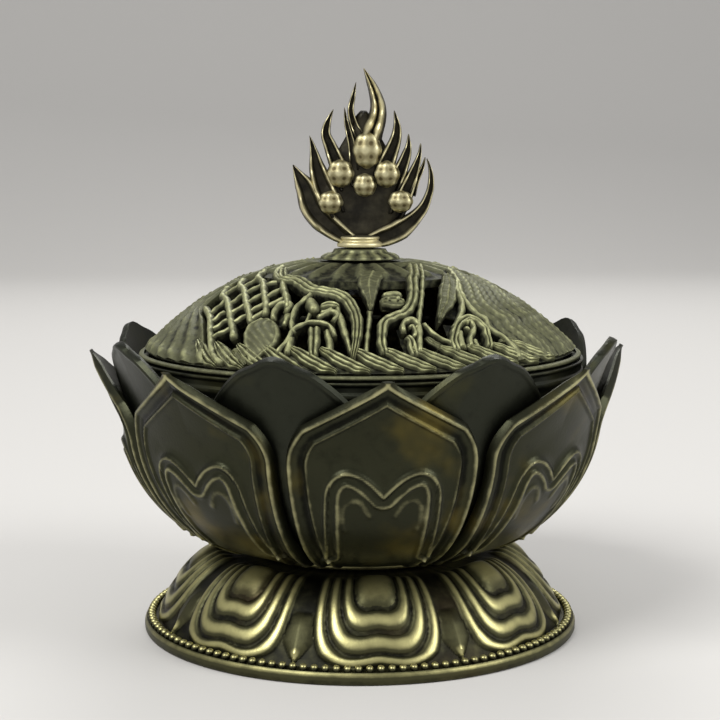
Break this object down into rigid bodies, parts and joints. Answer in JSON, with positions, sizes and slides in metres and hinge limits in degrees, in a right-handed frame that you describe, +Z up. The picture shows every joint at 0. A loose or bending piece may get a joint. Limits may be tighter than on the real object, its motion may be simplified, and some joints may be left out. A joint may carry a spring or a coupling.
{
  "type": "incense cone holder",
  "caption": "Footed lotus bowl of cast petals round a cup, with a lift-off pierced dome lid, a flaming-jewel finial and a lift-out ash dish that seats an incense cone.",
  "frame": {"origin": "on the ground, under the middle of the foot", "axes": "+Z up through the finial, -Y towards the front petal, +X to the viewer's right"},
  "size_m": [0.0948, 0.0948, 0.0975],
  "materials": {
    "foot_brass": "cast antique brass, dark wax in the hollows, rubbed bright on the ridges",
    "bowl_brass": "cast antique brass, dark patina with rubbed edges",
    "inner_petal_brass": "cast antique brass, dark smooth patina",
    "lid_brass": "cast and pierced antique brass, pale green-grey rubbed ornament over dark ground",
    "finial_brass": "cast antique brass, polished jewels",
    "dish_brass": "spun plain brass",
    "fixings": "zinc-plated steel"
  },
  "bodies": {
    "base": {"foot": "foot_brass", "neck_collar": "foot_brass", "cup": "bowl_brass", "centre_screw": "fixings", "foot_washer": "fixings", "foot_nut": "fixings", "outer_petal_1": "bowl_brass", "outer_petal_2": "bowl_brass", "outer_petal_3": "bowl_brass", "outer_petal_4": "bowl_brass", "outer_petal_5": "bowl_brass", "outer_petal_6": "bowl_brass", "outer_petal_7": "bowl_brass", "outer_petal_8": "bowl_brass", "inner_petal_1": "inner_petal_brass", "inner_petal_2": "inner_petal_brass", "inner_petal_3": "inner_petal_brass", "inner_petal_4": "inner_petal_brass", "inner_petal_5": "inner_petal_brass", "inner_petal_6": "inner_petal_brass", "inner_petal_7": "inner_petal_brass", "inner_petal_8": "inner_petal_brass"},
    "lid": {"lid": "lid_brass", "lid_cap": "lid_brass", "finial": "finial_brass", "finial_washer": "fixings", "finial_nut": "fixings"},
    "dish": {"ash_dish": "dish_brass", "cone_seat": "dish_brass"}
  },
  "joints": [
    {"name": "lid_lift", "type": "slide", "parent": "base", "child": "lid", "axis": [0, 0, 1], "range_m": [0, 0.06]},
    {"name": "dish_lift", "type": "slide", "parent": "base", "child": "dish", "axis": [0, 0, 1], "range_m": [0, 0.03]}
  ],
  "couplings": [
    {"joint": "dish_lift", "follows": "lid_lift", "ratio": 0.5}
  ]
}
